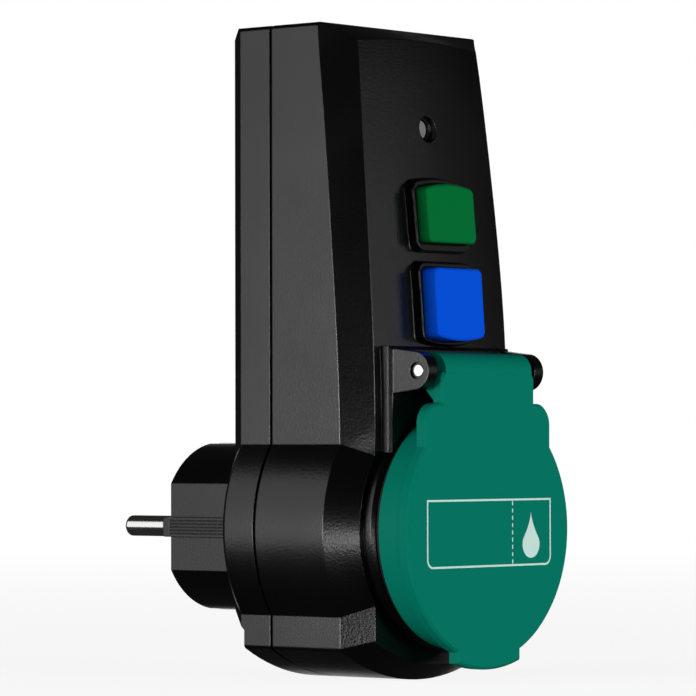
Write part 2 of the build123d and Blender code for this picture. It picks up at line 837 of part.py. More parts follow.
def make_housing_seal():
    """The thin seal in the groove between the two shells."""
    ring = body_outline(seal_inset) - body_outline(wall)
    return slab(ring, y_part - parting_gap / 2, y_part + parting_gap / 2)


def make_housing_screws():
    """The four screws that hold the shells together from behind."""
    screws = []
    seat = y_back - screw_pocket_depth
    for x, z in screw_places():
        screw = rod_y(screw_radius, y_part - screw_reach, seat, x, z)
        screw += rod_y(screw_head_radius, seat, seat + screw_head, x, z)
        top = seat + screw_head
        deep = top - screw_slot_depth
        arm = screw_head_radius / 2
        screw -= box(x - arm, x + arm, deep, top + overrun, z - screw_slot_half, z + screw_slot_half)
        screw -= box(x - screw_slot_half, x + screw_slot_half, deep, top + overrun, z - arm, z + arm)
        screws.append(screw)
    return grouped(screws)


def plug_pin(x):
    """A round plug pin with its rounded tip, its collar behind the boss and its tail in the housing."""
    shank = rod_y(pin_radius, 0, pin_length, x)
    tip = shank.edges().filter_by(GeomType.CIRCLE).sort_by(Axis.Y)[-1]
    shank = fillet(tip, pin_tip_radius)
    shank += rod_y(pin_root_radius, -plug_face_wall - plug_boss_length, 0, x)
    collar = -plug_face_wall - plug_boss_length - pin_collar_length
    shank += rod_y(pin_collar_radius, collar, -plug_face_wall - plug_boss_length, x)
    return shank + rod_y(pin_tail_radius, y_back - pin_tail_reach, collar, x)


def earth_strip_range(side):
    """The strip's two faces above or below the plug axis."""
    outer = plug_radius - earth_strip_sink
    inner = outer - earth_strip_thickness
    return (inner, outer) if side > 0 else (-outer, -inner)


def make_plug_earth_contact():
    """The earth strip: a contact face at the top and bottom of the plug and a bridge inside the housing."""
    bridge = y_inner_back - earth_bridge_sink
    strip = None
    for side in (-1, 1):
        z_low, z_high = earth_strip_range(side)
        face = box(-earth_strip_half, earth_strip_half, bridge, -earth_strip_end, z_low, z_high)
        strip = face if strip is None else strip + face
    outer = plug_radius - earth_strip_sink
    strip += box(-earth_strip_half, earth_strip_half, bridge, bridge + earth_strip_thickness, -outer, outer)
    return strip


def clip_slots(y0, y1):
    """The two slots for the earth clip's arms."""
    inner = earth_clip_reach - clip_slot_depth
    outer = well_radius + clip_slot_depth
    return [box(-clip_slot_half, clip_slot_half, y0, y1, side * inner, side * outer) for side in (-1, 1)]


def make_socket_insert():
    """The earthed socket's well with its rim, flange and guide lugs, open behind."""
    well = turned([(well_radius, y_floor), (insert_outer_radius, y_floor), (insert_outer_radius, y_collar),
                   (insert_flange_radius, y_collar), (insert_flange_radius, y_collar - insert_flange),
                   (insert_outer_radius, y_collar - insert_flange), (insert_outer_radius, y_rim + rim_bevel),
                   (insert_outer_radius - rim_bevel, y_rim), (well_radius, y_rim)])
    lugs = box(guide_lug_reach, well_radius + rim_bevel, y_rim + rim_bevel, y_floor, -guide_lug_half,
               guide_lug_half)
    lugs -= box(0, well_radius, y_rim, y_floor, -guide_groove_half, guide_groove_half)
    lugs &= rod_y(well_radius + rim_bevel, y_rim, y_floor)
    well += mirrored(lugs)
    for slot in clip_slots(y_rim + rim_bevel + rim_rise, y_floor + overrun):
        well -= slot
    return well


def make_socket_floor():
    """The well's floor with its pin holes, and the shutter's pivot behind it."""
    floor = rod_y(insert_outer_radius, y_floor, y_floor_back)
    for slot in clip_slots(y_floor - overrun, y_floor_back + overrun):
        floor -= slot
    for x in (-pin_x, pin_x):
        floor -= rod_y(socket_hole_radius, y_floor - overrun, y_floor_back + overrun, x)
        floor -= cone_y(socket_hole_sink_radius, socket_hole_radius, y_floor, y_floor + socket_hole_sink, x)
    return floor + rod_y(shutter_pivot_radius, y_floor_back - well_floor / 2, y_floor_back + shutter_pivot_length)


def make_lid_seal():
    """The rubber ring on the collar that the lid's skirt closes on."""
    inner = insert_flange_radius + seal_inner_clearance
    ring = Circle(seal_outer_radius - collar_edge_bevel) - Circle(inner)
    return slab(ring, y_collar, y_collar - seal_thickness)


def make_socket_shutter():
    """The turning shutter: a hub with two lobes that stand behind the pin holes until the pins turn it."""
    drawing = Circle(shutter_hub_radius) + Rectangle(pin_spacing, 2 * shutter_arm_half)
    for x in (-pin_x, pin_x):
        drawing += Pos(x, 0) * Circle(shutter_lobe_radius)
    drawing -= Circle(shutter_pivot_radius + shutter_running_clearance)
    return slab(drawing, y_shutter, y_shutter + shutter_thickness)


def make_shutter_clip():
    """The push-on washer at the end of the shutter's pivot."""
    end = y_floor_back + shutter_pivot_length - shutter_clip_thickness
    ring = Circle(shutter_clip_radius) - Circle(shutter_pivot_radius + pin_fit)
    return slab(ring, end, end + shutter_clip_thickness)


def make_shutter_spring():
    """The small torsion spring round the shutter's pivot."""
    start = y_shutter + shutter_thickness + shutter_spring_wire + shutter_gap / 2
    room = y_floor_back + shutter_pivot_length - shutter_clip_thickness - shutter_spring_wire - start
    pitch = (room - shutter_gap / 2) / shutter_spring_turns
    spring = coil(shutter_spring_radius, pitch, shutter_spring_turns, shutter_spring_wire)
    return Pos(0, start, 0) * Rot(-90, 0, 0) * spring


def socket_contact(x):
    """A female contact: a slotted tube with a flared mouth and a tail that goes up to the lead."""
    outer = contact_inner_radius + contact_thickness
    end = y_contact + contact_length
    tube = rod_y(outer, y_contact, end, x)
    flare = cone_y(contact_mouth_radius, outer, y_contact, y_contact + contact_mouth_length, x)
    tail = y_contact + contact_tail_offset
    strap = box(x - contact_tail_half, x + contact_tail_half, tail, tail + contact_thickness, 0, contact_tail_top)
    body = tube + flare + strap
    body -= rod_y(contact_inner_radius, y_contact - overrun, end + overrun, x)
    inner_flare = contact_mouth_radius - contact_thickness
    body -= cone_y(inner_flare, contact_inner_radius, y_contact, y_contact + contact_mouth_length, x)
    slot_end = tail - contact_thickness
    return body - box(x - contact_mouth_radius, x + contact_mouth_radius, y_contact - overrun, slot_end,
                      -contact_slot_half, contact_slot_half)


def make_socket_earth_clip():
    """The socket's earth clip: two springy arms along the well and the bridge behind its floor."""
    bridge = y_floor_back + earth_bridge_offset
    thick = earth_clip_thickness
    free = y_rim + earth_clip_mouth
    waist = (free + y_floor) / 2
    inner = earth_clip_reach
    base = earth_clip_base - thick
    arm = Polyline((bridge, base), (y_floor, base), (waist, inner), (free, base), (free, base + thick),
                   (waist, inner + thick), (y_floor, base + thick), (bridge, base + thick), close=True)
    strap = profile_x(make_face(arm), -earth_clip_half, earth_clip_half)
    clip = strap + mirror(strap, about=Plane.XY)
    return clip + box(-earth_clip_half, earth_clip_half, bridge, bridge + thick, -earth_clip_base, earth_clip_base)


def make_earth_post():
    """The riveted post that joins the two earth bridges."""
    start = y_floor_back + earth_bridge_offset + earth_clip_thickness
    return rod_y(earth_post_radius, start, y_inner_back - earth_bridge_sink)


def lid_outline():
    """The lid from the front: disc, shoulders, tongue and thumb tab."""
    drawing = Circle(lid_radius)
    foot = -math.sqrt(lid_radius ** 2 - tab_half_width ** 2)
    shoulders = Pos(0, shoulder_top / 2) * Rectangle(2 * shoulder_half_width, shoulder_top)
    corners = shoulders.vertices().group_by(Axis.Y)[-1]
    drawing += fillet(corners, shoulder_corner)
    tongue = Pos(0, hinge_height / 2) * Rectangle(2 * tongue_half_width, hinge_height)
    corners = tongue.vertices().group_by(Axis.Y)[-1]
    drawing += fillet(corners, tongue_corner)
    sides = Polyline((-tab_half_width, -tab_corner_reach), (-tab_half_width, foot), (tab_half_width, foot),
                     (tab_half_width, -tab_corner_reach))
    end = ThreePointArc((tab_half_width, -tab_corner_reach), (0, -tab_reach),
                        (-tab_half_width, -tab_corner_reach))
    return drawing + make_face(sides + end)


def make_lid():
    """The hinged lid: bevelled plate, skirt, rolled knuckle over the pin, and two gussets under it."""
    outline = lid_outline()
    plate = slab(outline, y_lid_inner, y_lid_face)
    front_edges = plate.edges().group_by(Axis.Y)[0]
    plate = chamfer(front_edges.filter_by(lambda edge: edge.center().Z < hinge_height - tongue_corner),
                    lid_edge_bevel)
    skirt = slab(Circle(skirt_radius) - Circle(skirt_radius - skirt_wall), y_lid_inner, y_skirt)
    knuckle = rod_x(knuckle_radius, -knuckle_half_length, knuckle_half_length, y_hinge, hinge_height)
    low = hinge_height - gusset_foot
    gusset = Polyline((y_lid_inner, hinge_height), (y_hinge + knuckle_radius * math.cos(math.pi / 6),
                      hinge_height - knuckle_radius / 2), (y_lid_inner, low), close=True)
    outer = knuckle_half_length
    web = profile_x(make_face(gusset), outer - gusset_thickness, outer)
    lid = plate + skirt + knuckle + mirrored(web)
    bay = rod_x(knuckle_radius - hood_thickness, -spring_bay_half, spring_bay_half, y_hinge, hinge_height)
    bay += box(-spring_bay_half, spring_bay_half, y_hinge, y_hinge + 2 * knuckle_radius,
               hinge_height - 2 * knuckle_radius, hinge_height + 2 * knuckle_radius)
    bay += box(-spring_bay_half, spring_bay_half, y_lid_inner, y_hinge + knuckle_radius,
               hinge_height - 2 * knuckle_radius, hinge_height)
    lid -= bay
    reach = knuckle_half_length + overrun
    return lid - rod_x(hinge_pin_radius + hinge_running_clearance, -reach, reach, y_hinge, hinge_height)


def make_hinge_pin():
    """The steel hinge pin, its ends just under the faces of the ears."""
    half = ear_outer - ear_sink_depth
    return rod_x(hinge_pin_radius, -half, half, y_hinge, hinge_height)


def make_lid_spring():
    """The torsion spring on the hinge pin, with a leg down the lid and one on the block behind."""
    length = lid_spring_pitch * lid_spring_turns
    block_leg = y_collar - y_hinge - lid_spring_wire - lid_gap
    spring = coil(lid_spring_radius, lid_spring_pitch, lid_spring_turns, lid_spring_wire, block_leg,
                  lid_spring_leg, lid_spring_end_turn)
    return Pos(length / 2, y_hinge, hinge_height) * Rot(0, -90, 0) * Rot(0, 0, 180) * spring


def button(sketch, low, high, proud, stem_end):
    """A push button: a cup with rounded front edges, a keeper flange behind and a stem in the middle."""
    centre = (low + high) / 2
    back = panel_y(centre) + button_skirt
    margin = button_arch + overrun
    solid = slab(sketch(0), back, y_panel - 2 * proud) & behind_face(low - margin, high + margin, proud)
    solid = chamfer(solid.faces().sort_by(Axis.Y)[0].edges(), button_edge_bevel)
    solid -= slab(sketch(-button_wall), back + overrun, panel_y(centre) - proud / 2)
    flange = sketch(button_flange) - sketch(-button_wall)
    solid += slab(flange, back, back + button_flange_thickness)
    return solid + rod_y(stem_radius, panel_y(centre) - proud / 2 - button_wall / 2, stem_end, 0, centre)


def make_reset_button():
    """The green button, whose stem stands in front of the contact carrier."""
    return button(reset_sketch, reset_low, reset_high, reset_proud, carrier_front - stem_end_gap)


def make_test_button():
    """The blue button, whose stem stands in front of the test leaf."""
    return button(test_sketch, test_low, test_high, test_proud, leaf_front - stem_end_gap)


def button_spring(centre, end):
    """A return spring round a button's stem, from the button to its stop."""
    start = panel_y(centre) + button_skirt - button_flange_thickness
    length = end - start - 2 * button_spring_wire
    spring = coil(button_spring_radius, length / button_spring_turns, button_spring_turns, button_spring_wire)
    return Pos(0, start + button_spring_wire, centre) * Rot(-90, 0, 0) * spring


def make_window_lens():
    """The light guide whose end shows in the round window."""
    front = panel_y(window_height) - panel_crown + light_guide_sink
    return rod_y(light_guide_radius, front, y_board - lamp_body - lamp_radius - shutter_gap, 0, window_height)


def make_indicator_lamp():
    """The lamp on the board behind the light guide."""
    lamp = rod_y(lamp_radius, y_board - lamp_body - lamp_radius, y_board, 0, window_height)
    front = lamp.edges().sort_by(Axis.Y)[0]
    return chamfer(front, lamp_radius / 2)


def make_circuit_board():
    """The board with its screw holes."""
    board = box(-board_half_width, board_half_width, y_board, y_board_back, board_low, board_high)
    for x, z in board_holes:
        board -= rod_y(board_screw_radius + screw_clearance, y_board - overrun, y_board_back + overrun, x, z)
    return board


def make_board_screws():
    """The small screws that hold the board to the rear shell."""
    screws = []
    for x, z in board_holes:
        screw = rod_y(board_screw_radius, y_board, y_board_back + board_screw_reach, x, z)
        screws.append(screw + rod_y(board_screw_head_radius, y_board - board_screw_head, y_board, x, z))
    return grouped(screws)


def make_transformer_core():
    """The ring core of the sum current transformer."""
    x, z = core_place
    ring = Circle(core_radius) - Circle(core_bore)
    return slab(Pos(x, z) * ring, y_board - winding_thickness, y_board - winding_thickness - core_length)


def make_transformer_winding():
    """The winding that wraps the ring core, as one closed sleeve."""
    x, z = core_place
    thick = winding_thickness
    outer = Circle(core_radius + thick) - Circle(core_bore - thick)
    sleeve = slab(Pos(x, z) * outer, y_board, y_board - core_length - 2 * thick)
    core = Circle(core_radius) - Circle(core_bore)
    return sleeve - slab(Pos(x, z) * core, y_board - thick, y_board - thick - core_length)


def make_transformer_cap():
    """The plastic cap over the transformer."""
    x, z = core_place
    top = y_board - core_length - 2 * winding_thickness
    bore = core_bore - winding_thickness
    cap = slab(Pos(x, z) * (Circle(core_cap_radius) - Circle(bore)), top, top - core_cap_thickness)
    return cap


def make_varistor():
    """The disc of the surge varistor, standing on the board."""
    x, z = varistor_place
    return rod_y(varistor_radius, y_board - varistor_thickness, y_board, x, z)


def make_filter_capacitor():
    """The box of the filter capacitor."""
    x, z = capacitor_place
    width, depth, height = capacitor_size
    return box(x - width / 2, x + width / 2, y_board - depth, y_board, z - height / 2, z + height / 2)


def make_control_chip():
    """The control chip."""
    x, z = chip_place
    width, depth, height = chip_size
    return box(x - width / 2, x + width / 2, y_board - depth, y_board, z - height / 2, z + height / 2)


def make_rectifier_diodes():
    """A row of rectifier diodes lying on the board."""
    x, z = diode_place
    half = diode_length / 2
    row = [rod_x(diode_radius, x - half, x + half, y_board - diode_radius, z + diode_pitch * number)
           for number in range(diode_count)]
    return grouped(row)


def make_small_resistors():
    """A row of small resistors on the board."""
    x, z = small_resistor_place
    width, depth, height = small_resistor_size
    row = []
    for number in range(small_resistor_count):
        left = x + small_resistor_pitch * number - width / 2
        row.append(box(left, left + width, y_board - depth, y_board, z, z + height))
    return grouped(row)


def make_test_resistor():
    """The resistor of the test circuit."""
    half = test_resistor_length / 2
    return rod_x(test_resistor_radius, -half, half, y_board - test_resistor_radius, board_low + test_resistor_rise)


def lead(points):
    """A stiff insulated lead along straight runs with equal bends."""
    path = FilletPolyline(*points, radius=lead_bend)
    section = Plane(path @ 0, z_dir=path % 0) * RegularPolygon(lead_radius, lead_sides)
    return sweep(section, path=path)


def make_line_leads():
    """The two leads from the plug pins up to the board."""
    tail = y_back - pin_tail_reach
    stand = y_board - lead_rise
    return grouped(both_sides(lambda side: lead([
        (side * pin_x, tail, 0), (side * pin_x, stand, 0), (side * pin_x, stand, lead_board_height),
        (side * pin_x, y_board, lead_board_height)])))


def make_load_leads():
    """The two leads from the board down to the socket contacts."""
    tail = y_contact + contact_tail_offset + contact_thickness / 2
    high = load_lead_height
    return grouped(both_sides(lambda side: lead([
        (side * pin_x, tail, contact_tail_top), (side * pin_x, tail, (contact_tail_top + high) / 2),
        (side * load_lead_x, tail, high), (side * load_lead_x, y_board, high)])))


def make_mechanism_frame():
    """The frame on the board: two side walls that guide the carrier, and the bridge of its spring."""
    low, high = reset_centre - frame_half_height, reset_centre + frame_half_height
    outer = frame_inner + frame_wall
    walls = mirrored(box(frame_inner, outer, y_board - frame_depth, y_board, low, high))
    bridge = y_board - bridge_offset
    frame = walls + box(-outer, outer, bridge - bridge_thickness, bridge, reset_centre - bridge_half_height,
                        reset_centre + bridge_half_height)
    slot = hook_half + hook_gap
    y_lever = y_board - coil_offset
    hook = lever_height + hook_rise
    frame -= box(-outer - overrun, -frame_inner + overrun, y_lever - lever_thickness / 2 - hook_gap,
                 y_lever + lever_thickness / 2 + hook_gap, hook - 2 * slot, hook + 2 * slot)
    lug = box(lever_x + lever_hub_radius, -frame_inner, y_lever - lever_thickness / 2,
              y_lever + lever_thickness / 2 + hook_gap + frame_wall, low, low + frame_wall)
    y_plate = y_lever + lever_thickness / 2 + hook_gap
    plate = box(lever_x - lever_hub_radius, -frame_inner, y_plate, y_plate + frame_wall,
                lever_height - lever_hub_radius, low + frame_wall)
    pin = rod_y(lever_pin_radius, y_lever - lever_thickness / 2 - hook_gap, y_plate + frame_wall / 2, lever_x,
                lever_height)
    return frame + (lug & plate) + plate + pin


def make_contact_carrier():
    """The sliding carrier of the moving contacts."""
    rear = y_board - carrier_offset
    return box(-carrier_half_width, carrier_half_width, rear - carrier_thickness, rear,
               reset_centre - carrier_half_height, reset_centre + carrier_half_height)


def make_moving_contacts():
    """The two bridging blades on the carrier's rear face, each with two contact buttons."""
    rear = y_board - carrier_offset
    face = rear + blade_thickness

    def blade(side):
        x = side * blade_x
        strip = box(x - blade_half_width, x + blade_half_width, rear, face, reset_centre - blade_half_height,
                    reset_centre + blade_half_height)
        for end in (-1, 1):
            strip += rod_y(contact_button_radius, face, face + contact_button, x,
                           reset_centre + end * contact_spread)
        return strip

    return grouped(both_sides(blade))


def make_fixed_contacts():
    """The four fixed contact posts on the board."""
    tip = y_board - carrier_offset + blade_thickness + contact_button + reset_travel + contact_travel_gap
    half = fixed_contact_half
    posts = []
    for x in (-blade_x, blade_x):
        for end in (-1, 1):
            z = reset_centre + end * contact_spread
            post = box(x - half, x + half, tip + contact_button, y_board, z - half, z + half)
            posts.append(post + rod_y(contact_button_radius, tip, tip + contact_button, x, z))
    return grouped(posts)


def make_carrier_spring():
    """The spring between the frame's bridge and the carrier."""
    end = y_board - bridge_offset - bridge_thickness
    start = y_board - carrier_offset
    length = end - start - 2 * carrier_spring_wire
    spring = coil(carrier_spring_radius, length / carrier_spring_turns, carrier_spring_turns, carrier_spring_wire)
    return Pos(0, start + carrier_spring_wire, reset_centre) * Rot(-90, 0, 0) * spring


def make_test_leaf():
    """The springy test contact and the post that carries it."""
    back = leaf_front + leaf_thickness
    leaf = box(-leaf_half_height, leaf_reach, leaf_front, back, test_centre - leaf_half_height,
               test_centre + leaf_half_height)
    post = box(leaf_reach - 2 * leaf_post_half, leaf_reach, back, y_board, test_centre - leaf_post_half,
               test_centre + leaf_post_half)
    return leaf + post


def make_test_contact():
    """The fixed half of the test contact."""
    tip = leaf_front + leaf_thickness + leaf_contact_drop
    return rod_y(leaf_post_half, tip, y_board, 0, test_centre)


def make_coil_bobbin():
    """The trip coil's bobbin."""
    y = y_board - coil_offset
    half = coil_flange_half
    bobbin = rod_z(coil_tube_radius, coil_low, coil_high, coil_x, y)
    for low in (coil_low, coil_high - coil_flange):
        bobbin += box(coil_x - half, coil_x + half, y - half, y + half, low, low + coil_flange)
    return bobbin - rod_z(plunger_radius + plunger_clearance, coil_low - overrun, coil_high + overrun, coil_x, y)


def make_coil_winding():
    """The trip coil's winding, between the bobbin's flanges."""
    y = y_board - coil_offset
    low, high = coil_low + coil_flange, coil_high - coil_flange
    return rod_z(coil_winding_radius, low, high, coil_x, y) - rod_z(coil_tube_radius, low, high, coil_x, y)


def make_coil_yoke():
    """The steel yoke that closes the trip coil's field and stands on the board."""
    y = y_board - coil_offset
    half = coil_flange_half
    low = coil_low - yoke_thickness
    high = coil_high + yoke_thickness
    yoke = box(coil_x - half, coil_x + half, y - half, y_board, low, coil_low)
    yoke += box(coil_x - half, coil_x + half, y - half, y_board, coil_high, high)
    yoke += box(coil_x - half, coil_x + half, y_board - yoke_thickness, y_board, low, high)
    bore = plunger_radius + stem_end_gap
    return yoke - rod_z(bore, coil_high - overrun, high + overrun, coil_x, y)


def make_trip_plunger():
    """The plunger with the neck that the lever's fork holds and a flat head."""
    y = y_board - coil_offset
    head = lever_height + lever_plate / 2 + lever_head_gap
    plunger = rod_z(plunger_radius, plunger_low, coil_high, coil_x, y)
    plunger += rod_z(plunger_neck_radius, coil_high, head, coil_x, y)
    return plunger + rod_z(plunger_head_radius, head, head + plunger_head, coil_x, y)


def make_plunger_spring():
    """The spring under the plunger, standing on the yoke."""
    length = plunger_low - coil_low - 2 * plunger_spring_wire
    spring = coil(plunger_spring_radius, length / plunger_spring_turns, plunger_spring_turns, plunger_spring_wire)
    return Pos(coil_x, y_board - coil_offset, coil_low + plunger_spring_wire) * spring


def make_latch_lever():
    """The lever that the plunger tips: a fork round its neck, a hub on its pin and a hook at the carrier."""
    y = y_board - coil_offset
    near, far = y - lever_thickness / 2, y + lever_thickness / 2
    low, high = lever_height - lever_plate / 2, lever_height + lever_plate / 2
    inner = lever_x - lever_hub_radius - hook_gap
    fork = box(lever_x - lever_fork_reach, inner, y - lever_thickness, y + lever_thickness, low, high)
    fork -= box(lever_x - lever_fork_reach - overrun, coil_x + lever_fork_slot, y - lever_fork_slot,
                y + lever_fork_slot, low - overrun, high + overrun)
    fork += box(coil_x + lever_fork_slot, lever_x, near, far, low, high)
    hub = rod_y(lever_hub_radius, near, far, lever_x, lever_height)
    top = lever_height + hook_rise
    mast = box(lever_x - hook_half, lever_x + hook_half, near, far, lever_height, top + hook_half)
    tip = box(lever_x, -carrier_half_width - hook_gap, near, far, top - hook_half, top + hook_half)
    lever = fork + hub + mast + tip
    bore = lever_pin_radius + lever_running_clearance
    return lever - rod_y(bore, near - overrun, far + overrun, lever_x, lever_height)


def write(name, shape):
    """Writes one node's file."""
    if isinstance(shape, (list, tuple, ShapeList)):
        shape = Compound(children=list(shape))
    export_step(shape, f"parts/{name}.step")
    print(name, len(shape.solids()), round(shape.volume, 1))


def main():
    """Builds and writes every piece."""
    os.makedirs("parts", exist_ok=True)
    write("front_shell", make_front_shell())
    write("rear_shell", make_rear_shell())
    write("housing_seal", make_housing_seal())
    write("housing_screws", make_housing_screws())
    write("live_pin", plug_pin(-pin_x))
    write("neutral_pin", plug_pin(pin_x))
    write("plug_earth_contact", make_plug_earth_contact())
    write("socket_insert", make_socket_insert())
    write("socket_floor", make_socket_floor())
    write("lid_seal", make_lid_seal())
    write("socket_shutter", make_socket_shutter())
    write("shutter_clip", make_shutter_clip())
    write("shutter_spring", make_shutter_spring())
    write("live_socket_contact", socket_contact(-pin_x))
    write("neutral_socket_contact", socket_contact(pin_x))
    write("socket_earth_clip", make_socket_earth_clip())
    write("earth_post", make_earth_post())
    write("lid", make_lid())
    write("hinge_pin", make_hinge_pin())
    write("lid_spring", make_lid_spring())
    write("reset_button", make_reset_button())
    write("test_button", make_test_button())
    write("reset_spring", button_spring(reset_centre, carrier_front - stem_end_gap))
    write("test_spring", button_spring(test_centre, leaf_front - stem_end_gap))
    write("window_lens", make_window_lens())
    write("indicator_lamp", make_indicator_lamp())
    write("circuit_board", make_circuit_board())
    write("board_screws", make_board_screws())
    write("transformer_core", make_transformer_core())
    write("transformer_winding", make_transformer_winding())
    write("transformer_cap", make_transformer_cap())
    write("varistor", make_varistor())
    write("filter_capacitor", make_filter_capacitor())
    write("control_chip", make_control_chip())
    write("rectifier_diodes", make_rectifier_diodes())
    write("small_resistors", make_small_resistors())
    write("test_resistor", make_test_resistor())
    write("line_leads", make_line_leads())
    write("load_leads", make_load_leads())
    write("mechanism_frame", make_mechanism_frame())
    write("contact_carrier", make_contact_carrier())
    write("moving_contacts", make_moving_contacts())
    write("fixed_contacts", make_fixed_contacts())
    write("carrier_spring", make_carrier_spring())
    write("test_leaf", make_test_leaf())
    write("test_contact", make_test_contact())
    write("coil_bobbin", make_coil_bobbin())
    write("coil_winding", make_coil_winding())
    write("coil_yoke", make_coil_yoke())
    write("trip_plunger", make_trip_plunger())
    write("plunger_spring", make_plunger_spring())
    write("latch_lever", make_latch_lever())


main()
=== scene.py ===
import bpy
import json
import math
from mathutils import Matrix, Vector


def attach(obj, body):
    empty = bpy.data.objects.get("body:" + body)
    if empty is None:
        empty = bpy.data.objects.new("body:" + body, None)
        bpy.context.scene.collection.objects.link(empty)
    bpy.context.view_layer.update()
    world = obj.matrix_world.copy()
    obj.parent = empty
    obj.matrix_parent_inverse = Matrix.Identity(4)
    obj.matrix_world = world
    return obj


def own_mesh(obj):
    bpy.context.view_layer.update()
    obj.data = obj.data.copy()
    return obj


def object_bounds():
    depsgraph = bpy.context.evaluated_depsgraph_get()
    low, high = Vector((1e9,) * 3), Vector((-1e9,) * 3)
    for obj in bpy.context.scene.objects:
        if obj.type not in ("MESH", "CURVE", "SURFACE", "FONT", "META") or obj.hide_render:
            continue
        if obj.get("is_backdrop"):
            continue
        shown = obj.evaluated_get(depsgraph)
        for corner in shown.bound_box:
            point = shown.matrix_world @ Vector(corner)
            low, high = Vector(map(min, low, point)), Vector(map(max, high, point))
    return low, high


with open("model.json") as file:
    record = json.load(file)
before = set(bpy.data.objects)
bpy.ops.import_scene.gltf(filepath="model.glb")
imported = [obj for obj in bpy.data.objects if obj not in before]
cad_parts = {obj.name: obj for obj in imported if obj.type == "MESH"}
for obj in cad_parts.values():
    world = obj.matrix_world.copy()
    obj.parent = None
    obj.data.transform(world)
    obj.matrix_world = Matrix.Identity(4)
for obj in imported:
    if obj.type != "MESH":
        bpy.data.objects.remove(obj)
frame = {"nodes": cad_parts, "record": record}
low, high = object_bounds()
size_before = [list(low), list(high)]
scene = bpy.context.scene
record = frame["record"]
slot_of = {part["node"]: part["material_slot"] for part in record["subparts"]}
MM = 0.001


# Materials

NOISE_LOW, NOISE_HIGH = 0.3, 0.7
GLOSS_SPREAD = 0.03
GLOSS_SCALES = (45, 45, 45)
GRAIN_DEPTH, MARK_DEPTH = 0.05, 0.02
BEVEL_SAMPLES = 6


def new_material(name, color):
    """A named material and its parts, with the colour set."""
    mat = bpy.data.materials.new(name)
    mat.use_nodes = True
    tree = mat.node_tree
    shader = tree.nodes["Principled BSDF"]
    shader.inputs["Base Color"].default_value = (*color, 1)
    return mat, tree, shader


def noise(tree, scales, detail):
    """Noise in the piece's own coordinates, with one scale for each axis."""
    coordinates = tree.nodes.new("ShaderNodeTexCoord")
    mapping = tree.nodes.new("ShaderNodeMapping")
    mapping.inputs["Scale"].default_value = scales
    texture = tree.nodes.new("ShaderNodeTexNoise")
    texture.inputs["Scale"].default_value = 1.0
    texture.inputs["Detail"].default_value = detail
    tree.links.new(coordinates.outputs["Object"], mapping.inputs["Vector"])
    tree.links.new(mapping.outputs["Vector"], texture.inputs["Vector"])
    return texture.outputs["Fac"]


def uneven_gloss(tree, shader, amount, rough):
    """Roughness that wanders about its middle value."""
    remap = tree.nodes.new("ShaderNodeMapRange")
    remap.inputs["From Min"].default_value = NOISE_LOW
    remap.inputs["From Max"].default_value = NOISE_HIGH
    remap.inputs["To Min"].default_value = rough - GLOSS_SPREAD
    remap.inputs["To Max"].default_value = rough + GLOSS_SPREAD
    tree.links.new(amount, remap.inputs["Value"])
    tree.links.new(remap.outputs["Result"], shader.inputs["Roughness"])


def relief(tree, shader, height, strength, depth, edge):
    """Fine relief over edges that the shading rounds. Depth and edge are in millimetres."""
    bevel = tree.nodes.new("ShaderNodeBevel")
    bevel.samples = BEVEL_SAMPLES
    bevel.inputs["Radius"].default_value = edge * MM
    bump = tree.nodes.new("ShaderNodeBump")
    bump.inputs["Strength"].default_value = strength
    bump.inputs["Distance"].default_value = depth * MM
    tree.links.new(bevel.outputs["Normal"], bump.inputs["Normal"])
    tree.links.new(height, bump.inputs["Height"])
    tree.links.new(bump.outputs["Normal"], shader.inputs["Normal"])


def plastic(name, color, rough=0.42, grain=0.15, grain_scale=3000.0, edge=0.25, specular=0.5):
    """Moulded plastic with a fine grain and slightly uneven gloss."""
    mat, tree, shader = new_material(name, color)
    shader.inputs["Specular IOR Level"].default_value = specular
    uneven_gloss(tree, shader, noise(tree, GLOSS_SCALES, 3), rough)
    fine = noise(tree, (grain_scale, grain_scale, grain_scale), 3)
    relief(tree, shader, fine, grain, GRAIN_DEPTH, edge)
    return mat


def metal(name, color, rough=0.28, marks=0.15, scales=(900, 60, 900), edge=0.12):
    """Bare metal with fine marks along one direction."""
    mat, tree, shader = new_material(name, color)
    shader.inputs["Metallic"].default_value = 1.0
    streaks = noise(tree, scales, 4)
    uneven_gloss(tree, shader, streaks, rough)
    relief(tree, shader, streaks, marks, MARK_DEPTH, edge)
    return mat


